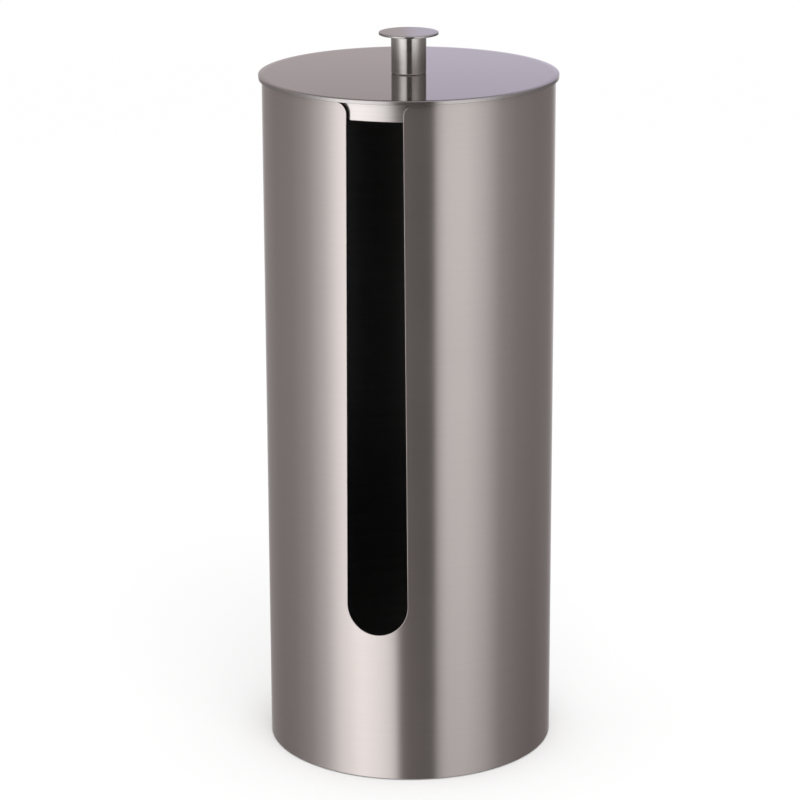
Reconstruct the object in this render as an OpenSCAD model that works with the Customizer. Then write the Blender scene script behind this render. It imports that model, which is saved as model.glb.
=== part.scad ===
// Free-standing steel canister that stores a stack of spare toilet rolls.
// Millimetres. +Z is up, the origin is on the floor on the canister's axis,
// and the tall slot in the shell faces -Y.

/* [Shell] */
// Outer diameter of the rolled sheet shell
shell_d = 152; // [140:1:180]
// Height of the shell, from its bottom edge to its rim
shell_h = 360; // [250:0.5:450]
// Thickness of the shell's sheet
shell_t = 0.8; // [0.6:0.1:1.5]

/* [Slot] */
// Width of the slot's round foot. The slot shows how many rolls are left
slot_w = 32; // [22:0.5:45]
// Width of the slot at the rim, before its corners flare. The rolled tube closes up a little there
slot_rim_w = 28.9; // [20:0.1:45]
// Height of the slot's lowest point above the shell's bottom edge
slot_foot_h = 80; // [40:0.5:120]
// Radius of the two rounded corners where the slot meets the rim
slot_corner_r = 6; // [3:0.5:10]

/* [Base] */
// Thickness of the pressed base pan's sheet
pan_t = 0.8; // [0.6:0.1:1.5]
// Height of the base pan's turned-up flange, from the pan's underside
pan_flange_h = 10; // [6:0.5:16]
// Inside radius of the bend between the pan's floor and its flange
pan_bend_r = 2; // [1:0.5:3]
// Distance from the shell's bottom edge up to the pan's underside
pan_recess = 3; // [2:0.5:6]
// Diameter of each rubber foot pad
pad_d = 14; // [10:0.5:20]
// How far the pads stand below the shell's bottom edge
pad_proud = 0.5; // [0.3:0.1:1.5]
// Distance from the pan's outer edge to each pad
pad_inset = 10; // [5:0.5:25]

/* [Lid] */
// How far the lid plate reaches past the shell all round
lid_overhang = 1.75; // [1:0.25:4]
// Thickness of the lid plate
lid_t = 2; // [1:0.1:3]
// Radius that softens the lid plate's edge, top and bottom
lid_edge_r = 0.15; // [0.05:0.05:0.45]
// Height of the collar under the lid
collar_h = 9.4; // [6:0.1:20]
// Thickness of the collar's strip
collar_t = 1; // [0.8:0.1:1.5]
// Radius that softens the collar's bottom edge
collar_edge_r = 0.35; // [0.2:0.05:0.38]
// Gap between the collar and the shell's inner wall
collar_gap = 1.7; // [0.8:0.1:4]

/* [Knob] */
// Diameter of the knob's stem
stem_d = 18.3; // [12:0.1:26]
// Height of the knob's stem
stem_h = 20.1; // [16:0.1:30]
// Radius round the foot of the stem
stem_foot_r = 0.8; // [0.3:0.1:1.5]
// Diameter of the disc on top of the stem
cap_d = 31; // [28:0.5:44]
// Thickness of the disc on top of the stem
cap_t = 1.1; // [1:0.1:2.5]
// Radius that softens the disc's rim, top and bottom
cap_edge_r = 0.15; // [0.05:0.05:0.48]

/* [Fasteners] */
// Thread diameter of the screw that holds the knob
screw_d = 5; // [4:0.5:6]
// Length of the screw under its head
screw_l = 12; // [10:0.5:14]
// Diameter of the screw's head
screw_head_d = 9.5; // [8.5:0.5:12]
// Height of the screw's head
screw_head_h = 3.4; // [3:0.1:4.5]
// Radius round the lower edge of the screw's head
screw_head_r = 2; // [1:0.1:2.5]
// Width of each arm of the head's cross recess
recess_w = 1.1; // [0.8:0.1:1.4]
// Length of each arm of the head's cross recess, end to end
recess_l = 4.6; // [3.5:0.1:6]
// Depth of the head's cross recess
recess_depth = 2; // [1:0.1:2.4]
// Outer diameter of the plain washer
washer_d = 10; // [9:0.5:15]
// Thickness of the plain washer
washer_t = 1; // [0.8:0.1:1.6]
// Outer diameter of the lock washer
lock_d = 9.2; // [8.5:0.1:12]
// Thickness of the lock washer
lock_t = 1.2; // [0.8:0.1:1.6]
// Width of the lock washer's split
lock_split = 0.9; // [0.5:0.1:1.5]

/* [Fits] */
// Gap all round between the base pan's flange and the shell
pan_gap = 0.1; // [0.05:0.05:0.3]
// Gap all round between the screw and the tapped hole in the stem
thread_gap = 0.05; // [0.03:0.01:0.1]
// Gap all round between the screw and the lid plate's hole
hole_gap = 0.25; // [0.1:0.05:0.5]
// Gap all round between the screw and its washers
washer_gap = 0.15; // [0.1:0.05:0.3]
// Room left past the end of the screw in the stem's tapped hole
thread_room = 1.5; // [0.5:0.5:3]

/* [Hidden] */
pad_count = 4;
// First pad's angle, so that the pads lie between the front and the sides
pad_start_angle = 45;
// Angle of the lock washer's split across its thickness
lock_slant = 20;
// How far inside the round foot's widest points the slot's sides meet it
side_step = 0.06;
// Overshoot of every cutting tool past the face that it cuts
cut = 1;

shell_r = shell_d / 2;
bore_r = shell_r - shell_t;
shell_z = pad_proud;
rim_z = shell_z + shell_h;
slot_r = slot_w / 2;
slot_side_r = slot_r - side_step;
slot_rim_r = slot_rim_w / 2;
slot_arc_z = shell_z + slot_foot_h + slot_r;
slot_side_h = rim_z - slot_arc_z;
// Lean of the slot's sides off the vertical, from the rim down to the round foot
slot_lean = asin(slot_side_r / norm([slot_side_h, slot_rim_r])) - atan2(slot_rim_r, slot_side_h);

pan_r = bore_r - pan_gap;
pan_z = shell_z + pan_recess;
pan_bend_out = pan_bend_r + pan_t;
pad_ring_r = pan_r - pad_inset - pad_d / 2;

lid_r = shell_r + lid_overhang;
lid_top_z = rim_z + lid_t;
collar_r = bore_r - collar_gap;

stem_r = stem_d / 2;
cap_z = lid_top_z + stem_h;
screw_r = screw_d / 2;
washer_z = rim_z - washer_t;
lock_z = washer_z - lock_t;
head_z = lock_z - screw_head_h;
screw_tip_z = lock_z + screw_l;

steel = [0.70, 0.67, 0.65];
bright_steel = [0.78, 0.76, 0.74];
zinc = [0.62, 0.64, 0.66];
rubber = [0.12, 0.12, 0.12];

// Half section of a flat disc with softened top and bottom edges and a round hole
module disc_section(r, t, edge_r, hole_r) {
    translate([hole_r, 0])
        square([r - edge_r - hole_r, t]);
    translate([r - edge_r, edge_r])
        square([edge_r, t - 2 * edge_r]);
    for (y = [edge_r, t - edge_r])
        translate([r - edge_r, y])
            circle(r = edge_r, $fn = 48);
}

// Flat ring or washer, standing on its lower face
module ring(r, hole_r, h) {
    difference() {
        cylinder(r = r, h = h, $fn = 96);
        translate([0, 0, -cut])
            cylinder(r = hole_r, h = h + 2 * cut, $fn = 96);
    }
}

// Distance from the slot's middle to its side, or to a line that lies beyond it in the sheet,
// at a height above the centre of the round foot
function slot_side_x(h, beyond) = (slot_side_r + beyond - h * sin(slot_lean)) / cos(slot_lean);

// Front view of the slot above its round foot: sides that lean in, and corners that flare at the rim
module slot_sides() {
    into_sheet = [cos(slot_lean), sin(slot_lean)];
    top = slot_side_h + cut;
    corner_h = slot_side_h - slot_corner_r;
    corner = [slot_side_x(corner_h, slot_corner_r), corner_h];
    translate([0, slot_arc_z]) {
        polygon([
            [-slot_side_x(0, 0), 0],
            [slot_side_x(0, 0), 0],
            [slot_side_x(top, 0), top],
            [-slot_side_x(top, 0), top]
        ]);
        for (side = [0, 1])
            mirror([side, 0, 0])
                difference() {
                    polygon([
                        corner - (slot_corner_r + cut) * into_sheet,
                        corner,
                        [corner[0], top],
                        [slot_side_x(top, -cut), top]
                    ]);
                    translate(corner)
                        circle(r = slot_corner_r, $fn = 96);
                }
    }
}

// Rolled sheet tube with the slot cut straight through its front
module body_shell() {
    color(steel)
        difference() {
            translate([0, 0, shell_z])
                cylinder(r = shell_r, h = shell_h, $fn = 256);
            translate([0, 0, shell_z - cut])
                cylinder(r = bore_r, h = shell_h + 2 * cut, $fn = 256);
            translate([0, 0, slot_arc_z])
                rotate([90, 0, 0])
                    cylinder(r = slot_r, h = shell_r + cut, $fn = 128);
            rotate([90, 0, 0])
                linear_extrude(height = shell_r + cut)
                    slot_sides();
        }
}

// Pressed floor with a turned-up flange that is welded inside the shell
module base_pan() {
    color(steel)
        translate([0, 0, pan_z])
            rotate_extrude($fn = 256) {
                square([pan_r - pan_bend_out, pan_t]);
                translate([pan_r - pan_t, pan_bend_out])
                    square([pan_t, pan_flange_h - pan_bend_out]);
                translate([pan_r - pan_bend_out, pan_bend_out])
                    intersection() {
                        difference() {
                            circle(r = pan_bend_out, $fn = 64);
                            circle(r = pan_bend_r, $fn = 64);
                        }
                        translate([0, -pan_bend_out])
                            square(pan_bend_out);
                    }
            }
}

// Rubber pads glued under the base pan, which carry the canister on the floor
module foot_pads() {
    color(rubber)
        for (i = [0 : pad_count - 1])
            rotate([0, 0, pad_start_angle + i * 360 / pad_count])
                translate([pad_ring_r, 0, 0])
                    cylinder(d = pad_d, h = pan_z, $fn = 64);
}

// Stamped disc that closes the canister and rests on its rim
module lid_plate() {
    color(bright_steel)
        translate([0, 0, rim_z])
            rotate_extrude($fn = 256)
                disc_section(lid_r, lid_t, lid_edge_r, screw_r + hole_gap);
}

// Ring of strip welded under the lid plate, with a softened bottom edge
module lid_collar() {
    color(steel)
        translate([0, 0, rim_z - collar_h])
            rotate_extrude($fn = 256)
                translate([collar_r - collar_t, 0]) {
                    translate([0, collar_edge_r])
                        square([collar_t, collar_h - collar_edge_r]);
                    translate([collar_edge_r, 0])
                        square([collar_t - 2 * collar_edge_r, collar_edge_r]);
                    for (x = [collar_edge_r, collar_t - collar_edge_r])
                        translate([x, collar_edge_r])
                            circle(r = collar_edge_r, $fn = 48);
                }
}

// Turned stem with a rounded foot and a blind tapped hole from below
module knob_stem() {
    hole_depth = screw_tip_z - lid_top_z + thread_room;
    color(bright_steel)
        difference() {
            translate([0, 0, lid_top_z])
                rotate_extrude($fn = 128) {
                    translate([0, stem_foot_r])
                        square([stem_r, stem_h - stem_foot_r]);
                    square([stem_r - stem_foot_r, stem_foot_r]);
                    translate([stem_r - stem_foot_r, stem_foot_r])
                        circle(r = stem_foot_r, $fn = 48);
                }
            translate([0, 0, lid_top_z - cut])
                cylinder(r = screw_r + thread_gap, h = hole_depth + cut, $fn = 64);
        }
}

// Stamped disc welded on top of the stem, for the fingers to catch under
module knob_cap() {
    color(bright_steel)
        translate([0, 0, cap_z])
            rotate_extrude($fn = 128)
                disc_section(cap_d / 2, cap_t, cap_edge_r, 0);
}

// Pan head screw with a cross recess, driven from under the lid into the stem
module knob_screw() {
    color(zinc)
        difference() {
            union() {
                translate([0, 0, lock_z - cut])
                    cylinder(r = screw_r, h = screw_l + cut, $fn = 64);
                translate([0, 0, head_z])
                    rotate_extrude($fn = 96) {
                        square([screw_head_d / 2 - screw_head_r, screw_head_h]);
                        translate([0, screw_head_r])
                            square([screw_head_d / 2, screw_head_h - screw_head_r]);
                        translate([screw_head_d / 2 - screw_head_r, screw_head_r])
                            intersection() {
                                circle(r = screw_head_r, $fn = 64);
                                translate([0, -screw_head_r])
                                    square(screw_head_r);
                            }
                    }
            }
            for (turn = [0, 90])
                rotate([0, 0, turn])
                    translate([-recess_l / 2, -recess_w / 2, head_z - cut])
                        cube([recess_l, recess_w, recess_depth + cut]);
        }
}

// Flat washer against the underside of the lid plate
module plain_washer() {
    color(zinc)
        translate([0, 0, washer_z])
            ring(washer_d / 2, screw_r + washer_gap, washer_t);
}

// Split spring washer between the screw's head and the plain washer
module lock_washer() {
    color(zinc)
        translate([0, 0, lock_z])
            difference() {
                ring(lock_d / 2, screw_r + washer_gap, lock_t);
                translate([lock_d / 2, 0, lock_t / 2])
                    rotate([lock_slant, 0, 0])
                        cube([lock_d, lock_split, lock_t + 2 * cut], center = true);
            }
}

body_shell();
base_pan();
foot_pads();
lid_plate();
lid_collar();
knob_stem();
knob_cap();
knob_screw();
plain_washer();
lock_washer();
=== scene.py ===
import math

import bpy
import numpy as np
from mathutils import Matrix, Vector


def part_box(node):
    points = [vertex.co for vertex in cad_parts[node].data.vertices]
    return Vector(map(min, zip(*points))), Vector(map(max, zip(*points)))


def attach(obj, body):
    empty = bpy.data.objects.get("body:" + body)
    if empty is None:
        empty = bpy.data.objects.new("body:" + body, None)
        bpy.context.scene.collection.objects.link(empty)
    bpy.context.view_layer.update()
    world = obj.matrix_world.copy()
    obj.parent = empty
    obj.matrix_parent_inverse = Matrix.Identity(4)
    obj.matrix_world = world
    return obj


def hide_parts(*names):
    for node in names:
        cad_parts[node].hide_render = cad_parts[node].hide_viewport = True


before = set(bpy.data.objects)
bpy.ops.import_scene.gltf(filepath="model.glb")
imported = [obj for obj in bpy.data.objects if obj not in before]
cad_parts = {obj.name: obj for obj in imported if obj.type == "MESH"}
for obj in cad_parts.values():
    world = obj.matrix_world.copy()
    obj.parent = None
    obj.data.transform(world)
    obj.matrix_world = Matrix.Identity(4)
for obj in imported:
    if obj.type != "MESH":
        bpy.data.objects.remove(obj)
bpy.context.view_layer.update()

# The shell is 0.8 mm stainless sheet, brushed along its length and rolled into a tube, so the
# brushing runs round it. The slot was cut in the flat sheet, the two ends are butt welded down
# the back and ground flush, and every cut edge is lightly rounded by the deburring.
shell_low, shell_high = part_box("body_shell")
shell_radius = shell_high.x
foot_edge_z = shell_low.z
rim_z = shell_high.z
sheet_thickness = 0.0008
deburr_radius = 0.00028
slot_foot_radius = 0.016
slot_rim_half_width = 0.01445
slot_foot_height = 0.080
slot_corner_radius = 0.006
shell_columns = 300
rows_below_slot = 12
foot_points = 33
side_points = 30
corner_points = 15
edge_steps = 5
weld_width = 0.0022


def slot_outline(inset):
    """Half of the slot's outline, moved into the sheet by inset, from the lowest point of the foot
    to the rim: x, z and the way that the cut faces. An arc round the foot's centre turns up to a
    straight side, which leans in by the angle that brings it from the arc's tangent to the width
    at the rim, and an arc of the sheet's corner flares out from there. A point keeps its number
    whatever the inset, so outlines join into strips."""
    foot_centre = foot_edge_z + slot_foot_height + slot_foot_radius
    side_height = rim_z - foot_centre
    lean = (math.asin(slot_foot_radius / math.hypot(side_height, slot_rim_half_width))
            - math.atan2(slot_rim_half_width, side_height))
    corner_z = side_height - slot_corner_radius
    corner_x = (slot_foot_radius + slot_corner_radius - corner_z * math.sin(lean)) / math.cos(lean)
    foot_turn = np.linspace(-np.pi / 2, lean, foot_points)
    corner_turn = np.linspace(np.pi + lean, np.pi / 2, corner_points)
    foot_reach = slot_foot_radius + inset
    corner_reach = slot_corner_radius - inset
    side_low = foot_reach * math.sin(lean)
    side_high = corner_z + corner_reach * math.sin(corner_turn[0])
    side = np.linspace(side_low, side_high, side_points + 2)[1:-1]
    x = np.concatenate([foot_reach * np.cos(foot_turn),
                        (foot_reach - side * math.sin(lean)) / math.cos(lean),
                        corner_x + corner_reach * np.cos(corner_turn)])
    z = np.concatenate([foot_reach * np.sin(foot_turn), side,
                        corner_z + corner_reach * np.sin(corner_turn)])
    facing = np.concatenate([foot_turn + np.pi, np.full(side.size, np.pi + lean), corner_turn])
    return x, foot_centre + z, np.stack([np.cos(facing), 0 * facing, np.sin(facing)], -1)


def wall_points(depth, inset):
    """The sheet at a depth under its outer face, as rows of points that run round the tube from
    one side of the slot to the other. Each row spans the angle that the slot leaves at its
    height: all of the circle below the slot, and less by twice asin(x / radius) beside it."""
    slot_x, slot_z, _ = slot_outline(inset)
    below = np.linspace(foot_edge_z + inset, slot_z[0], rows_below_slot + 1)[:-1]
    x = np.concatenate([np.zeros(below.size), slot_x])[:, None]
    z = np.concatenate([below, slot_z])[:, None]
    radius = shell_radius - depth
    start = np.arcsin(x / radius)
    share = np.linspace(0, 1, shell_columns + 1)[None, :]
    turn = start + share * (2 * np.pi - 2 * start)
    points = np.stack([radius * np.sin(turn), -radius * np.cos(turn), z + 0 * turn], -1)
    outward = np.stack([np.sin(turn), -np.cos(turn), 0 * turn], -1)
    brush = np.stack([z + 0 * turn, shell_radius * turn], -1)
    return points, outward, brush


def edge_of(grid):
    """The points of a wall_points grid that lie along its cut: up one side of the slot from the
    foot, round the rim, and down the other side to the foot again."""
    foot_row = grid.shape[0] - slot_outline(0)[0].size
    return np.concatenate([grid[foot_row:-1, 0], grid[-1, :-1], grid[foot_row:, -1][::-1]])


def across_the_sheet(radius, thickness):
    """Depth, inset and turn of the normal for each step over a rounded cut edge: a quarter round
    from the outer face, the flat cut, and a quarter round to the inner face."""
    quarter = np.linspace(0, np.pi / 2, edge_steps + 1)
    depth = np.concatenate([radius - radius * np.cos(quarter),
                            thickness - radius + radius * np.sin(quarter)])
    inset = np.concatenate([radius - radius * np.sin(quarter), radius - radius * np.cos(quarter)])
    return depth, inset, np.concatenate([quarter, quarter + np.pi / 2])


def quads_of(rows, columns, flip=False):
    """Corner numbers of a grid's quads. They face along column direction cross row direction."""
    number = np.arange(rows * columns).reshape(rows, columns)
    corners = [number[:-1, :-1], number[:-1, 1:], number[1:, 1:], number[1:, :-1]]
    return np.stack(corners[::-1] if flip else corners, -1).reshape(-1, 4)


def make_piece(name, grids, body, stands_for):
    """One mesh from grids of (points, normals, brush coordinates, flip). Points that fall together
    become one, a quad with two corners on one point becomes a triangle, and the true normals of
    the surface are kept. The UV map called brush has u across the brushing and v along it."""
    points, normals, brush, quads, count = [], [], [], [], 0
    for grid_points, grid_normals, grid_brush, flip in grids:
        rows, columns = grid_points.shape[:2]
        quads.append(quads_of(rows, columns, flip) + count)
        points.append(grid_points.reshape(-1, 3))
        normals.append(grid_normals.reshape(-1, 3))
        brush.append(grid_brush.reshape(-1, 2))
        count += rows * columns
    points, normals = np.concatenate(points), np.concatenate(normals)
    brush, quads = np.concatenate(brush), np.concatenate(quads)
    _, first, welded = np.unique(np.round(points, 8), axis=0, return_index=True,
                                 return_inverse=True)
    corner = welded.reshape(-1)[quads]
    repeated = corner == np.roll(corner, -1, axis=1)
    whole = ~repeated.any(axis=1)
    pinched = repeated.sum(axis=1) == 1
    turn = (np.argmax(repeated[pinched], axis=1)[:, None] + np.arange(1, 4)) % 4
    threes = np.take_along_axis(quads[pinched], turn, axis=1)
    used = np.concatenate([quads[whole].reshape(-1), threes.reshape(-1)])
    loop_starts = np.concatenate([np.arange(whole.sum()) * 4,
                                  whole.sum() * 4 + np.arange(len(threes)) * 3])
    mesh = bpy.data.meshes.new(name)
    mesh.vertices.add(len(first))
    mesh.vertices.foreach_set("co", points[first].reshape(-1))
    mesh.loops.add(used.size)
    mesh.loops.foreach_set("vertex_index", welded.reshape(-1)[used].astype(np.int32))
    mesh.polygons.add(loop_starts.size)
    mesh.polygons.foreach_set("loop_start", loop_starts.astype(np.int32))
    mesh.update(calc_edges=True)
    uv_map = mesh.uv_layers.new(name="brush")
    uv_map.data.foreach_set("uv", brush[used].reshape(-1))
    mesh.polygons.foreach_set("use_smooth", np.ones(loop_starts.size, bool))
    length = np.linalg.norm(normals, axis=1, keepdims=True)
    mesh.normals_split_custom_set((normals / length)[used].tolist())
    piece = bpy.data.objects.new(name, mesh)
    bpy.context.scene.collection.objects.link(piece)
    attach(piece, body)
    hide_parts(*stands_for)
    return piece


def brushed_steel(name, colour, roughness, stretch, line_width, line_length, grain, relief):
    """Stainless steel with brushed lines along v of the brush map. A fine and a coarse noise,
    both drawn out along the lines, vary colour and roughness and raise the lines, and a wide
    cloud dulls the surface here and there as handling does."""
    material = bpy.data.materials.new(name)
    material.use_nodes = True
    nodes, links = material.node_tree.nodes, material.node_tree.links
    shader = nodes["Principled BSDF"]
    shader.inputs["Metallic"].default_value = 1
    shader.inputs["Anisotropic"].default_value = stretch
    brush_map = nodes.new("ShaderNodeUVMap")
    brush_map.uv_map = "brush"
    tangent = nodes.new("ShaderNodeTangent")
    tangent.direction_type = "UV_MAP"
    tangent.uv_map = "brush"
    links.new(tangent.outputs["Tangent"], shader.inputs["Tangent"])

    def streaks(width, length, detail):
        """Noise drawn out to a length along the lines and a width across them."""
        stretch_out = nodes.new("ShaderNodeMapping")
        stretch_out.inputs["Scale"].default_value = (1 / width, 1 / length, 1)
        noise = nodes.new("ShaderNodeTexNoise")
        noise.noise_dimensions = "2D"
        noise.inputs["Scale"].default_value = 1
        noise.inputs["Detail"].default_value = detail
        noise.inputs["Roughness"].default_value = 0.6
        links.new(brush_map.outputs["UV"], stretch_out.inputs["Vector"])
        links.new(stretch_out.outputs["Vector"], noise.inputs["Vector"])
        return noise.outputs["Fac"]

    def spread(value, low, high):
        """A noise's usual reach, from 0.3 to 0.7, carried to low to high."""
        fit = nodes.new("ShaderNodeMapRange")
        fit.inputs["From Min"].default_value = 0.3
        fit.inputs["From Max"].default_value = 0.7
        fit.inputs["To Min"].default_value = low
        fit.inputs["To Max"].default_value = high
        links.new(value, fit.inputs["Value"])
        return fit.outputs["Result"]

    def combine(operation, a, b):
        """The product or the sum of two values."""
        both = nodes.new("ShaderNodeMath")
        both.operation = operation
        links.new(a, both.inputs[0])
        links.new(b, both.inputs[1])
        return both.outputs["Value"]

    coarse_width, coarse_length = line_width * 6, line_length * 2.5
    fine = streaks(line_width, line_length, detail=2)
    coarse = streaks(coarse_width, coarse_length, detail=3)
    place = nodes.new("ShaderNodeTexCoord")
    cloud = nodes.new("ShaderNodeTexNoise")
    cloud.inputs["Scale"].default_value = 14
    cloud.inputs["Detail"].default_value = 3
    links.new(place.outputs["Object"], cloud.inputs["Vector"])

    tone = combine("MULTIPLY", spread(fine, 1 - grain, 1 + grain),
                   spread(coarse, 1 - grain, 1 + grain))
    tone = combine("MULTIPLY", tone, spread(cloud.outputs["Fac"], 0.985, 1.015))
    tint = nodes.new("ShaderNodeVectorMath")
    tint.operation = "SCALE"
    tint.inputs[0].default_value = colour
    links.new(tone, tint.inputs["Scale"])
    links.new(tint.outputs["Vector"], shader.inputs["Base Color"])

    dulled = combine("ADD", spread(coarse, roughness * (1 - grain), roughness * (1 + grain)),
                     spread(cloud.outputs["Fac"], -0.01, 0.012))
    links.new(dulled, shader.inputs["Roughness"])

    lines = nodes.new("ShaderNodeBump")
    lines.inputs["Strength"].default_value = 1
    lines.inputs["Distance"].default_value = relief
    links.new(combine("ADD", fine, coarse), lines.inputs["Height"])
    links.new(lines.outputs["Normal"], shader.inputs["Normal"])
    return material


def ground_weld(material, place, width):
    """A band at v = place of the brush map, where the butt weld was ground flush: a little darker
    and duller than the sheet, with soft sides that a noise along the seam makes uneven."""
    nodes, links = material.node_tree.nodes, material.node_tree.links
    shader = nodes["Principled BSDF"]
    brush_map = nodes["UV Map"]
    split = nodes.new("ShaderNodeSeparateXYZ")
    links.new(brush_map.outputs["UV"], split.inputs["Vector"])
    wander = nodes.new("ShaderNodeTexNoise")
    wander.noise_dimensions = "1D"
    wander.inputs["Scale"].default_value = 260
    links.new(split.outputs["X"], wander.inputs["W"])
    aside = nodes.new("ShaderNodeMath")
    aside.operation = "MULTIPLY_ADD"
    aside.inputs[1].default_value = width * 0.5
    aside.inputs[2].default_value = -place - width * 0.25
    links.new(wander.outputs["Fac"], aside.inputs[0])
    off = nodes.new("ShaderNodeMath")
    links.new(split.outputs["Y"], off.inputs[0])
    links.new(aside.outputs["Value"], off.inputs[1])
    reach = nodes.new("ShaderNodeMath")
    reach.operation = "ABSOLUTE"
    links.new(off.outputs["Value"], reach.inputs[0])
    for name, darkest in (("Base Color", 0.88), ("Roughness", 1.25)):
        band = nodes.new("ShaderNodeMapRange")
        band.inputs["From Min"].default_value = width * 0.2
        band.inputs["From Max"].default_value = width * 0.6
        band.inputs["To Min"].default_value = darkest
        band.inputs["To Max"].default_value = 1
        links.new(reach.outputs["Value"], band.inputs["Value"])
        scaled = nodes.new("ShaderNodeVectorMath")
        scaled.operation = "SCALE"
        links.new(shader.inputs[name].links[0].from_socket, scaled.inputs[0])
        links.new(band.outputs["Result"], scaled.inputs["Scale"])
        links.new(scaled.outputs["Vector"], shader.inputs[name])


def centre_radii(piece):
    """How far the middle of each of a piece's faces is from the canister's axis."""
    centres = np.empty(3 * len(piece.data.polygons))
    piece.data.polygons.foreach_get("center", centres)
    return np.hypot(*centres.reshape(-1, 3).T[:2])


edge_depth, edge_inset, edge_turn = across_the_sheet(deburr_radius, sheet_thickness)
outer_points, outer_normals, outer_brush = wall_points(0, deburr_radius)
inner_points, inner_normals, inner_brush = wall_points(sheet_thickness, deburr_radius)

cut_right = slot_outline(0)[2]
cut_normals = np.concatenate([
    cut_right[:-1],
    np.tile([0.0, 0.0, 1.0], (shell_columns, 1)),
    (cut_right * (-1, 1, 1))[::-1],
])

slot_and_rim, foot_edge = [], []
for depth, inset, turn in zip(edge_depth, edge_inset, edge_turn):
    points, outward, brush = wall_points(depth, inset)
    lean_out, lean_cut = math.cos(turn), math.sin(turn)
    slot_and_rim.append((edge_of(points), lean_out * edge_of(outward) + lean_cut * cut_normals,
                         edge_of(brush)))
    foot_edge.append((points[0], lean_out * outward[0] + lean_cut * np.array([0, 0, -1.0]),
                      brush[0]))
slot_strip = [np.stack(part) for part in zip(*slot_and_rim)]
foot_strip = [np.stack(part) for part in zip(*foot_edge)]

shell = make_piece("shell", [
    (outer_points, outer_normals, outer_brush, False),
    (inner_points, -inner_normals, inner_brush, True),
    (*slot_strip, False),
    (*foot_strip, True),
], "canister", ["body_shell"])
shell.data.materials.append(brushed_steel(
    "shell_steel", (0.62, 0.56, 0.535), roughness=0.288, stretch=0.96,
    line_width=0.0004, line_length=0.02, grain=0.01, relief=1.5e-7))
ground_weld(shell.data.materials[0], math.pi * shell_radius, weld_width)
# The inside of the sheet is its duller, unbrushed back, and its colour is also darkened well below
# the outside's as painted shade inside the canister.
shell.data.materials.append(brushed_steel(
    "shell_inside_painted_shade", (0.27, 0.27, 0.27), roughness=0.45, stretch=0.3,
    line_width=0.0008, line_length=0.05, grain=0.03, relief=2e-6))
# Faces of the inner wall take that darkened steel, the painted shade inside the canister.
inside = centre_radii(shell) < shell_radius - sheet_thickness / 2
shell.data.polygons.foreach_set("material_index", inside.astype(np.int32))


# The base pan is a disc of thinner stainless sheet, pressed into a shallow dish. Its flange
# stands inside the shell, spot welded to it, and the rolls stand on its floor.
pan_low, pan_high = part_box("base_pan")
pan_radius = pan_high.x
pan_thickness = 0.0008
pan_bend_radius = 0.002
pan_edge_radius = 0.0002
pan_columns = 256


def rounded_profile(corners, closed=False, steps=6):
    """A half section drawn clockwise round the solid from (radius, height, rounding) corners.
    Each corner becomes an arc tangent to its two sides. Returns the points with the outward
    normal at each, which is the direction of travel turned a quarter to the left."""
    corner = np.array(corners, float)
    count = len(corner)
    points, normals = [], []
    for k in range(count):
        here, rounding = corner[k, :2], corner[k, 2]
        came = here - corner[k - 1, :2]
        goes = corner[(k + 1) % count, :2] - here
        if not closed and k == 0:
            came = goes
        if not closed and k == count - 1:
            goes = came
        came, goes = came / np.linalg.norm(came), goes / np.linalg.norm(goes)
        turn = math.atan2(came[0] * goes[1] - came[1] * goes[0], came @ goes)
        left = np.array([-came[1], came[0]])
        angle = np.linspace(0, turn, steps + 1 if rounding else 2 if turn else 1)[:, None]
        normal = np.cos(angle) * left + np.sin(angle) * np.array([-left[1], left[0]])
        side = math.copysign(1, turn)
        start = here - came * rounding * math.tan(abs(turn) / 2)
        points.append(start + side * rounding * (left - normal))
        normals.append(normal)
    if closed:
        points.append(points[0][:1])
        normals.append(normals[0][:1])
    return np.concatenate(points), np.concatenate(normals)


def turned(profile, profile_normals, columns, straight_brush=None):
    """A half section carried round the Z axis, as a grid for make_piece. The brush map runs along
    the section and round the axis, or, with an angle for straight_brush, over the plan in straight
    lines at that angle."""
    turn = np.linspace(0, 2 * np.pi, columns + 1)[None, :]
    radius, height = profile[:, :1], profile[:, 1:]
    points = np.stack([radius * np.cos(turn), radius * np.sin(turn), height + 0 * turn], -1)
    outward, upward = profile_normals[:, :1], profile_normals[:, 1:]
    normals = np.stack([outward * np.cos(turn), outward * np.sin(turn), upward + 0 * turn], -1)
    if straight_brush is None:
        steps = np.linalg.norm(np.diff(profile, axis=0), axis=1)
        along = np.concatenate([[0], np.cumsum(steps)])[:, None]
        brush = np.stack([along + 0 * turn, profile[:, :1].max() * turn + 0 * along], -1)
    else:
        x, y = points[..., 0], points[..., 1]
        across = y * math.cos(straight_brush) - x * math.sin(straight_brush)
        lengthwise = x * math.cos(straight_brush) + y * math.sin(straight_brush)
        brush = np.stack([across, lengthwise], -1)
    return points, normals, brush, True


pan_floor_z = pan_low.z + pan_thickness
pan_inner_radius = pan_radius - pan_thickness
pan_profile = rounded_profile([
    (0, pan_floor_z, 0),
    (pan_inner_radius, pan_floor_z, pan_bend_radius),
    (pan_inner_radius, pan_high.z, pan_edge_radius),
    (pan_radius, pan_high.z, pan_edge_radius),
    (pan_radius, pan_low.z, pan_bend_radius + pan_thickness),
    (0, pan_low.z, 0),
])
pan = make_piece("base_dish", [turned(*pan_profile, pan_columns)], "canister",
                 ["base_pan"])
pan.data.materials.append(brushed_steel(
    "pan_steel", (0.56, 0.53, 0.51), roughness=0.38, stretch=0.3,
    line_width=0.0006, line_length=0.02, grain=0.03, relief=2e-6))


# Four rubber pads are glued under the base pan and carry the canister half a millimetre off the
# floor. They are moulded, matt black, with a small round at their lower edge.
pads_low, pads_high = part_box("foot_pads")
pad_radius = 0.007
pad_edge_radius = 0.0008
pad_top_radius = 0.0001
pad_reach = pads_high.x - pad_radius
pad_columns = 64

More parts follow.
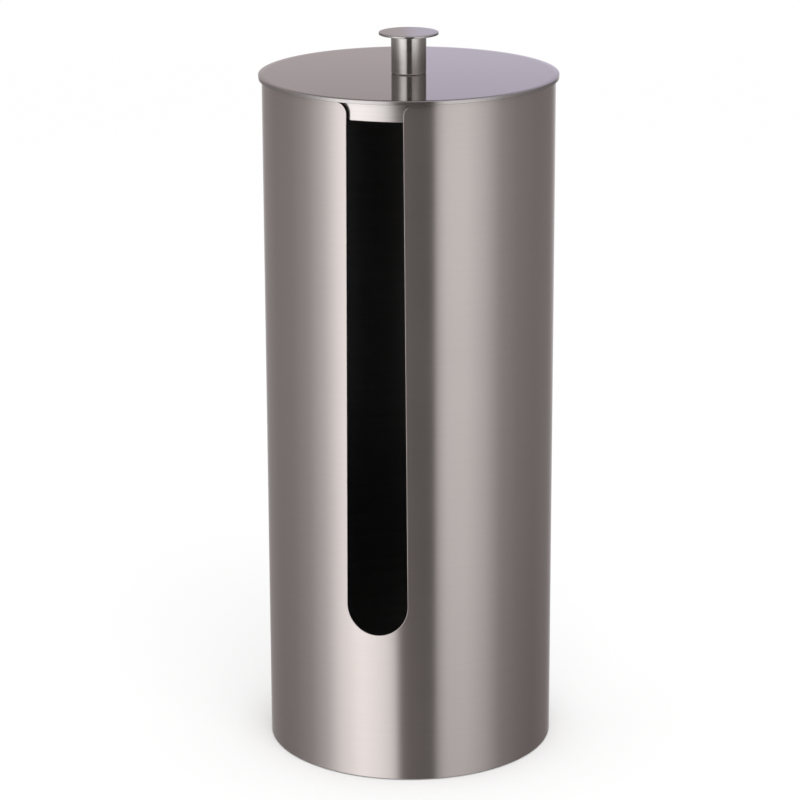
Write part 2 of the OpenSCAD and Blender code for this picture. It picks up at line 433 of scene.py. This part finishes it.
pad_profile = rounded_profile([
    (0, pads_high.z, 0),
    (pad_radius, pads_high.z, pad_top_radius),
    (pad_radius, pads_low.z, pad_edge_radius),
    (0, pads_low.z, 0),
])
pad_points, pad_normals, pad_brush, pad_flip = turned(*pad_profile, pad_columns)
pad_grids = []
for corner_x in (-1, 1):
    for corner_y in (-1, 1):
        shift = np.array([corner_x * pad_reach, corner_y * pad_reach, 0])
        pad_grids.append((pad_points + shift, pad_normals, pad_brush, pad_flip))
pads = make_piece("rubber_pads", pad_grids, "canister", ["foot_pads"])


def grained(name, metallic, specular, scale, detail, colours, roughness, relief):
    """A plain material with a fine grain. A noise on the object's own coordinates carries colour
    and roughness from their first value to their second, and raises the surface by the relief."""
    material = bpy.data.materials.new(name)
    material.use_nodes = True
    nodes, links = material.node_tree.nodes, material.node_tree.links
    shader = nodes["Principled BSDF"]
    shader.inputs["Metallic"].default_value = metallic
    shader.inputs["Specular IOR Level"].default_value = specular
    place = nodes.new("ShaderNodeTexCoord")
    grain = nodes.new("ShaderNodeTexNoise")
    grain.inputs["Scale"].default_value = scale
    grain.inputs["Detail"].default_value = detail
    links.new(place.outputs["Object"], grain.inputs["Vector"])
    shade = nodes.new("ShaderNodeValToRGB")
    for stop, colour in zip(shade.color_ramp.elements, colours):
        stop.color = (*colour, 1)
    links.new(grain.outputs["Fac"], shade.inputs["Fac"])
    links.new(shade.outputs["Color"], shader.inputs["Base Color"])
    dull = nodes.new("ShaderNodeMapRange")
    dull.inputs["To Min"].default_value, dull.inputs["To Max"].default_value = roughness
    links.new(grain.outputs["Fac"], dull.inputs["Value"])
    links.new(dull.outputs["Result"], shader.inputs["Roughness"])
    bump = nodes.new("ShaderNodeBump")
    bump.inputs["Distance"].default_value = relief
    links.new(grain.outputs["Fac"], bump.inputs["Height"])
    links.new(bump.outputs["Normal"], shader.inputs["Normal"])
    return material


pads.data.materials.append(grained(
    "pad_rubber", metallic=0, specular=0.35, scale=1800, detail=2,
    colours=[(0.022, 0.022, 0.023), (0.045, 0.044, 0.043)], roughness=(0.7, 0.9), relief=5e-5))


# The lid plate is a disc stamped from 2 mm sheet with fine straight brushing, polished almost
# to a mirror. Stamping pulls the last three millimetres of its face down a little before the edge
# turns over, and the edge itself is rounded.
lid_low, lid_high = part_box("lid_plate")
lid_radius = lid_high.x
lid_edge_radius = 0.00015
lid_pull_width = 0.0032
lid_pull_depth = 0.00014
lid_hole_radius = 0.00275
hole_edge_radius = 0.0001
lid_brush_angle = math.radians(13)
lid_columns = 320
pull_steps = 14


def pulled_edge(profile, normals, high_z, radius, edge_radius, width, depth):
    """Stretches of a half section near its rim sink by depth times the square of how far they
    are into the pulled width, so the face bends down without a crease, and normals follow."""
    slope_start = radius - width
    extra = np.linspace(slope_start, radius - edge_radius, pull_steps + 2)[1:-1]
    flat_end = np.flatnonzero(np.isclose(profile[:, 0], slope_start))[-1]
    profile = np.concatenate([profile[:flat_end + 1], np.stack([extra, 0 * extra + high_z], -1),
                              profile[flat_end + 1:]])
    normals = np.concatenate([normals[:flat_end + 1], np.tile([0.0, 1.0], (extra.size, 1)),
                              normals[flat_end + 1:]])
    into = np.clip((profile[:, 0] - slope_start) / width, 0, 1)
    face = normals[:, 1] > 0
    profile[:, 1] -= np.where(face, depth * into ** 2, 0)
    lean = np.where(face, 2 * depth * into / width, 0) * np.clip(normals[:, 1], 0, 1)
    normals = normals + np.stack([lean, 0 * lean], -1)
    return profile, normals


def plate_grids(profile, normals, columns, angle):
    """A plate's half section carried round the axis in three stretches: face, rim and underside.
    The faces are brushed in straight lines at the angle, and the rim round its girth."""
    nearly_flat, near_rim = 0.99, 0.9 * profile[:, 0].max()
    steep = (np.abs(normals[:, 1]) < nearly_flat) & (profile[:, 0] > near_rim)
    first, last = np.flatnonzero(steep)[[0, -1]] + (-1, 1)
    return [turned(profile[:first + 1], normals[:first + 1], columns, angle),
            turned(profile[first:last + 1], normals[first:last + 1], columns),
            turned(profile[last:], normals[last:], columns, angle)]


lid_profile = pulled_edge(*rounded_profile([
    (lid_hole_radius, lid_high.z, hole_edge_radius),
    (lid_radius - lid_pull_width, lid_high.z, 0),
    (lid_radius, lid_high.z, lid_edge_radius),
    (lid_radius, lid_low.z, lid_edge_radius),
    (lid_hole_radius, lid_low.z, hole_edge_radius),
], closed=True, steps=8), lid_high.z, lid_radius, lid_edge_radius, lid_pull_width, lid_pull_depth)
lid = make_piece("lid_disc", plate_grids(*lid_profile, lid_columns, lid_brush_angle), "lid",
                 ["lid_plate"])
lid.data.materials.append(brushed_steel(
    "lid_steel", (0.51, 0.476, 0.468), roughness=0.07, stretch=0.6,
    line_width=0.00025, line_length=0.03, grain=0.012, relief=1e-7))
rim_steel = brushed_steel(
    "rim_steel", (0.48, 0.45, 0.435), roughness=0.25, stretch=0.88,
    line_width=0.0002, line_length=0.01, grain=0.03, relief=5e-7)
# The undersides of the lid and the knob's disc are dull as-stamped steel, and their colour is also
# darkened well below the face's as painted shade under them.
stamped_steel_painted_shade = brushed_steel(
    "stamped_steel_painted_shade", (0.27, 0.255, 0.25), roughness=0.42, stretch=0.2,
    line_width=0.0005, line_length=0.01, grain=0.03, relief=1e-6)


def finish_plate(piece, edge_inner_radius):
    """Gives the rim and the underside of a plate their own steel, after that of its face. The
    underside's steel is dull as stamped, and its colour is darkened as painted shade under the
    plate.
    """
    piece.data.materials.append(rim_steel)
    piece.data.materials.append(stamped_steel_painted_shade)
    facing = np.empty(3 * len(piece.data.polygons))
    piece.data.polygons.foreach_get("normal", facing)
    turned_down = -0.1
    # Faces turned down take the darkened steel, the painted shade under the plate.
    below = facing[2::3] < turned_down
    rim = (centre_radii(piece) > edge_inner_radius) & ~below
    piece.data.polygons.foreach_set("material_index", (rim + 2 * below).astype(np.int32))


finish_plate(lid, lid_radius - lid_edge_radius)


# The collar is a ring rolled from bright strip and welded under the lid plate. It hangs inside
# the shell with a loose gap all round, so the lid drops in by itself, and its lower edge is
# rounded to slide past the rim.
collar_low, collar_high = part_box("lid_collar")
collar_radius = collar_high.x
collar_thickness = 0.001
collar_edge_radius = 0.00035
collar_weld_radius = 0.00005
collar_columns = 320
collar_profile = rounded_profile([
    (collar_radius - collar_thickness, collar_high.z, collar_weld_radius),
    (collar_radius, collar_high.z, collar_weld_radius),
    (collar_radius, collar_low.z, collar_edge_radius),
    (collar_radius - collar_thickness, collar_low.z, collar_edge_radius),
], closed=True)
collar = make_piece("collar_ring", [turned(*collar_profile, collar_columns)], "lid",
                    ["lid_collar"])
collar.data.materials.append(brushed_steel(
    "collar_steel", (0.60, 0.555, 0.535), roughness=0.30, stretch=0.75,
    line_width=0.0003, line_length=0.03, grain=0.025, relief=7e-7))


# The knob's stem is turned from bar, finely brushed round its girth, with a small round at its
# foot. A tapped hole in its underside takes the screw.
stem_low, stem_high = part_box("knob_stem")
stem_radius = stem_high.x
stem_foot_radius = 0.0008
stem_top_radius = 0.0006
stem_hole_radius = 0.00255
stem_hole_depth = 0.0093
stem_columns = 160
stem_profile = rounded_profile([
    (0, stem_high.z, 0),
    (stem_radius, stem_high.z, stem_top_radius),
    (stem_radius, stem_low.z, stem_foot_radius),
    (stem_hole_radius, stem_low.z, hole_edge_radius),
    (stem_hole_radius, stem_low.z + stem_hole_depth, hole_edge_radius),
    (0, stem_low.z + stem_hole_depth, 0),
])
stem = make_piece("stem", [turned(*stem_profile, stem_columns)], "lid",
                  ["knob_stem"])
stem.data.materials.append(brushed_steel(
    "knob_steel", (0.61, 0.58, 0.56), roughness=0.21, stretch=0.93,
    line_width=0.0002, line_length=0.01, grain=0.03, relief=8e-7))


# The disc on top of the knob is stamped from 1.1 mm sheet, so its face bends down a little at the
# rim as the lid's does, and it is welded on the stem and ground flush.
cap_low, cap_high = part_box("knob_cap")
cap_radius = cap_high.x
cap_edge_radius = 0.00015
cap_pull_width = 0.002
cap_pull_depth = 0.00008
cap_columns = 192
cap_profile = pulled_edge(*rounded_profile([
    (0, cap_high.z, 0),
    (cap_radius - cap_pull_width, cap_high.z, 0),
    (cap_radius, cap_high.z, cap_edge_radius),
    (cap_radius, cap_low.z, cap_edge_radius),
    (0, cap_low.z, 0),
]), cap_high.z, cap_radius, cap_edge_radius, cap_pull_width, cap_pull_depth)
cap = make_piece("knob_disc", plate_grids(*cap_profile, cap_columns, lid_brush_angle), "lid",
                 ["knob_cap"])
cap.data.materials.append(brushed_steel(
    "disc_steel", (0.51, 0.485, 0.476), roughness=0.12, stretch=0.6,
    line_width=0.0002, line_length=0.02, grain=0.015, relief=2e-7))
finish_plate(cap, cap_radius - cap_edge_radius)


# The screw and its two washers are stock fasteners under the lid. Their CAD solids keep their
# shape, with the cross recess and the washer's split, and get a bright steel finish.
fastener_steel = grained(
    "fastener_steel", metallic=1, specular=0.5, scale=900, detail=4,
    colours=[(0.47, 0.48, 0.49), (0.60, 0.61, 0.62)], roughness=(0.25, 0.42), relief=1e-5)
for fastener in ("knob_screw", "plain_washer", "lock_washer"):
    fastener_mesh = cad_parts[fastener].data
    fastener_mesh.materials.clear()
    fastener_mesh.materials.append(fastener_steel)


# The camera stands where the photograph was taken from: a little to the right of the slot, 1.6 m
# from the canister's axis, looking down at it through a long lens.
camera_turn = math.radians(13.15)
camera_distance = 1.589
camera_height = 0.65913
camera_pitch = math.radians(16.578)
camera_roll = math.radians(0.149)
camera = bpy.data.objects.new("camera", bpy.data.cameras.new("camera"))
camera.data.sensor_width = 36
camera.data.lens = 140.14
camera.data.shift_x = -0.012
camera.data.clip_end = 100
camera.location = (camera_distance * math.sin(camera_turn),
                   -camera_distance * math.cos(camera_turn), camera_height)
camera.rotation_euler = (Matrix.Rotation(camera_turn, 3, "Z")
                         @ Matrix.Rotation(math.pi / 2 - camera_pitch, 3, "X")
                         @ Matrix.Rotation(-camera_roll, 3, "Z")).to_euler()
bpy.context.scene.collection.objects.link(camera)
bpy.context.scene.camera = camera


# The floor is a wide sheet of white matt paper. It takes the canister's shadow, and further out it
# fades into the white of the room, so that no horizon shows.
floor_radius = 8.0
floor_rings = np.array([0, 0.02, 0.1, 0.3, 0.6, 1])
floor_columns = 96
floor_fade = [(0.075, 0), (0.1, 0.4), (0.3, 0.45), (1.4, 0.7), (2.5, 1)]


def seen_directly(nodes, links):
    """One for a camera, glossy or transmission ray, and nought for the rays that light things."""
    path = nodes.new("ShaderNodeLightPath")
    total = path.outputs["Is Camera Ray"]
    for name in ("Is Glossy Ray", "Is Transmission Ray"):
        either = nodes.new("ShaderNodeMath")
        either.operation = "MAXIMUM"
        links.new(total, either.inputs[0])
        links.new(path.outputs[name], either.inputs[1])
        total = either.outputs["Value"]
    return total


def paper_disc(name, radius):
    """A flat disc of rings of quads round the origin, facing up. To the camera its matt white
    mixes with plain white by a share that grows with the distance from the middle, from nothing
    where the canister stands. Each stop of floor_fade is a distance and that share."""
    rings = np.stack([floor_rings * radius, 0 * floor_rings], -1)
    points, _, _, flip = turned(rings, np.tile([0.0, 1.0], (floor_rings.size, 1)), floor_columns)
    quads = quads_of(*points.shape[:2], flip)
    mesh = bpy.data.meshes.new(name)
    mesh.from_pydata(points.reshape(-1, 3).tolist(), [], quads.tolist())
    material = bpy.data.materials.new(name)
    material.use_nodes = True
    nodes, links = material.node_tree.nodes, material.node_tree.links
    shader = nodes["Principled BSDF"]
    shader.inputs["Roughness"].default_value = 0.9
    shader.inputs["Specular IOR Level"].default_value = 0
    shader.inputs["Base Color"].default_value = (0.97, 0.97, 0.97, 1)
    place = nodes.new("ShaderNodeTexCoord")
    away = nodes.new("ShaderNodeVectorMath")
    away.operation = "LENGTH"
    links.new(place.outputs["Object"], away.inputs[0])
    farthest = floor_fade[-1][0]
    reach = nodes.new("ShaderNodeMath")
    reach.operation = "DIVIDE"
    reach.inputs[1].default_value = farthest
    links.new(away.outputs["Value"], reach.inputs[0])
    share = nodes.new("ShaderNodeValToRGB")
    stops = share.color_ramp.elements
    for distance, _ in floor_fade[1:-1]:
        stops.new(distance / farthest)
    for stop, (distance, part) in zip(stops, floor_fade):
        stop.position = distance / farthest
        stop.color = (part, part, part, 1)
    links.new(reach.outputs["Value"], share.inputs["Fac"])
    seen = nodes.new("ShaderNodeMath")
    seen.operation = "MULTIPLY"
    links.new(share.outputs["Color"], seen.inputs[0])
    links.new(seen_directly(nodes, links), seen.inputs[1])
    white = nodes.new("ShaderNodeEmission")
    mix = nodes.new("ShaderNodeMixShader")
    links.new(seen.outputs["Value"], mix.inputs["Fac"])
    links.new(shader.outputs["BSDF"], mix.inputs[1])
    links.new(white.outputs["Emission"], mix.inputs[2])
    links.new(mix.outputs["Shader"], nodes["Material Output"].inputs["Surface"])
    mesh.materials.append(material)
    disc = bpy.data.objects.new(name, mesh)
    bpy.context.scene.collection.objects.link(disc)
    return disc


floor = paper_disc("floor", floor_radius)
floor.visible_glossy = False


# What the steel mirrors is a studio of soft cards round it: a wide softbox to the camera's left,
# a dimmer card to its right, a black flag round the camera, grey walls beside it, the sweep
# behind, a ceiling softbox and a white table. They stand far off, so their bands run straight up.
card_light = [
    (-180, 0.9, 1, 1), (-168, 0.8, 0.9, 0.9), (-160, 0.3, 0.34, 0.32), (-130, 0.18, 0.32, 0.22),
    (-104, 0.18, 0.42, 0.28), (-86, 0.18, 0.7, 0.4), (-70, 0.24, 1.43, 0.73),
    (-56, 0.61, 2.39, 1.45), (-42, 1.05, 2.34, 1.74), (-28, 1.1, 1.89, 1.5),
    (-16.5, 0.84, 1.43, 1.24), (-14.3, 0.55, 0.82, 1.21), (-11.2, 0.18, 0.15, 0.7),
    (-8.6, 0.035, 0.07, 0.12), (0, 0.035, 0.08, 0.105), (19.1, 0.035, 0.09, 0.085),
    (20.4, 0.25, 1.28, 0.06), (22, 0.27, 1.63, 0.06), (24, 0.27, 1.75, 0.2),
    (28, 0.29, 2.22, 0.45), (44, 0.32, 2.19, 0.52), (60, 0.27, 1.46, 0.56), (76, 0.19, 0.68, 0.27),
    (92, 0.16, 0.43, 0.24), (120, 0.13, 0.31, 0.17), (146, 0.12, 0.27, 0.21), (158, 0.3, 0.38, 0.3),
    (168, 0.8, 0.9, 0.9), (180, 0.9, 1, 1),
]
card_rise = (10, -12, -21)
ceiling_light = 0.95
table_light = 0.55
sweep_light = [(9, 0.66), (13.3, 0.61), (13.7, 0.57), (14, 0.53), (14.35, 0.505), (14.65, 0.465),
               (15.5, 0.455), (16.5, 0.42), (18, 0.32), (19.3, 0.24), (30, 0.24)]
sweep_tint_left = (1, 0.905, 0.922)
sweep_tint_right = (1.195, 1.12, 1.33)
sweep_from, sweep_fade = 150, 10
sweep_foot_from, sweep_foot_fade = -2, 4
ceiling_from, ceiling_fade = 30, 8
table_from, table_fade = 45, 15
darkest_card = 0.035
deepest_card = 2.5
tint_levels = [0.1, 0.3, 0.8]
card_tints = ([1.05, 1.05, 0.99], [1, 1, 1], [0.97, 1, 1.015])
low_card_red = 0.09
card_radius = 6.0
card_columns = 721
card_rows = np.concatenate([np.linspace(-90, -26, 17), np.arange(-24, 12, 1.0),
                            np.arange(12, 16, 0.25), np.arange(16, 20, 0.5),
                            np.arange(20, 40, 1.0), np.linspace(42, 90, 9)])


def light_from(turn, rise):
    """The studio's red, green and blue from directions in degrees, turned to the right of the
    camera and raised above the horizon. A row of card_light is such a turn and the brightness
    there at each of the three rises in card_rise, with straight lines between. A row of
    sweep_light is a rise and the brightness of the sweep, which takes over behind the canister,
    above the horizon. High up all round is the ceiling, and far down the table. The dimmer a card
    is, the warmer is its grey, and more so further down."""
    card_turn, *levels = np.array(card_light).T
    high, middle, low = (np.interp(turn, card_turn, level) for level in levels)
    up = np.clip((rise - card_rise[1]) / (card_rise[0] - card_rise[1]), 0, 1)
    down = np.clip((rise - card_rise[1]) / (card_rise[2] - card_rise[1]), 0, deepest_card)
    level = np.clip(middle + (high - middle) * up + (low - middle) * down, darkest_card, None)
    warmth = [np.interp(level, tint_levels, tint) for tint in card_tints]
    warmth[0] *= 1 + np.interp(level, tint_levels[:2], [low_card_red, 0]) * np.clip(down, 0, 1)
    light = level[..., None] * np.stack(warmth, -1)
    sweep_tint = np.where(turn[..., None] < 0, sweep_tint_left, sweep_tint_right)
    sweep = np.interp(rise, *np.array(sweep_light).T)[..., None] * sweep_tint
    behind = np.clip((np.abs(turn) - sweep_from) / sweep_fade, 0, 1)
    above = np.clip((rise - sweep_foot_from) / sweep_foot_fade, 0, 1)
    light += (sweep - light) * (behind * above)[..., None]
    overhead = np.clip((rise - ceiling_from) / ceiling_fade, 0, 1)[..., None]
    light += (ceiling_light - light) * overhead
    under = np.clip((-rise - table_from) / table_fade, 0, 1)[..., None]
    light += (table_light - light) * under
    return light


def studio_cards():
    """A sphere of cards round the canister, which only what mirrors can see. Its rows lie closest
    where the sweep's light changes fastest."""
    turn, rise = np.meshgrid(np.linspace(-180, 180, card_columns), card_rows)
    light = light_from(turn, rise)
    facing, rise = np.radians(turn) + camera_turn, np.radians(rise)
    points = card_radius * np.stack([np.cos(rise) * np.sin(facing),
                                     -np.cos(rise) * np.cos(facing), np.sin(rise)], -1)
    quads = quads_of(*points.shape[:2])
    mesh = bpy.data.meshes.new("studio_cards")
    mesh.from_pydata(points.reshape(-1, 3).tolist(), [], quads.tolist())
    shine = mesh.attributes.new("card_light", "FLOAT_COLOR", "POINT")
    shine.data.foreach_set("color", np.dstack([light, np.ones(turn.shape)]).reshape(-1))
    material = bpy.data.materials.new("studio_cards")
    material.use_nodes = True
    nodes, links = material.node_tree.nodes, material.node_tree.links
    nodes.clear()
    lit = nodes.new("ShaderNodeAttribute")
    lit.attribute_name = "card_light"
    glow = nodes.new("ShaderNodeEmission")
    output = nodes.new("ShaderNodeOutputMaterial")
    links.new(lit.outputs["Color"], glow.inputs["Color"])
    links.new(glow.outputs["Emission"], output.inputs["Surface"])
    material.cycles.emission_sampling = "NONE"
    mesh.materials.append(material)
    cards = bpy.data.objects.new("studio_cards", mesh)
    bpy.context.scene.collection.objects.link(cards)
    cards.visible_camera = False
    cards.visible_diffuse = False
    cards.visible_shadow = False
    return cards


studio_cards()


# Soft white light from all round lights the floor and whatever isn't steel, with one large lamp
# overhead for a soft shadow.
world = bpy.data.worlds.new("soft_white_room")
bpy.context.scene.world = world
world.use_nodes = True
room_nodes, room_links = world.node_tree.nodes, world.node_tree.links
room_light = room_nodes["Background"]
room_light.inputs["Color"].default_value = (0.96, 0.96, 0.96, 1)
room_seen = room_nodes.new("ShaderNodeBackground")
room_seen.inputs["Color"].default_value = (1, 1, 1, 1)
room_mix = room_nodes.new("ShaderNodeMixShader")
room_links.new(seen_directly(room_nodes, room_links), room_mix.inputs["Fac"])
room_links.new(room_light.outputs["Background"], room_mix.inputs[1])
room_links.new(room_seen.outputs["Background"], room_mix.inputs[2])
room_links.new(room_mix.outputs["Shader"], room_nodes["World Output"].inputs["Surface"])

lamp = bpy.data.objects.new("top_lamp", bpy.data.lights.new("top_lamp", "AREA"))
lamp.data.shape = "DISK"
lamp.data.size = 1.6
lamp.data.energy = 14
lamp.location = (0.6, -1.2, 2.0)
lamp.rotation_euler = (math.radians(32), 0, math.radians(27))
lamp.visible_glossy = False
lamp.visible_camera = False
bpy.context.scene.collection.objects.link(lamp)

bpy.context.scene.view_settings.view_transform = "Standard"
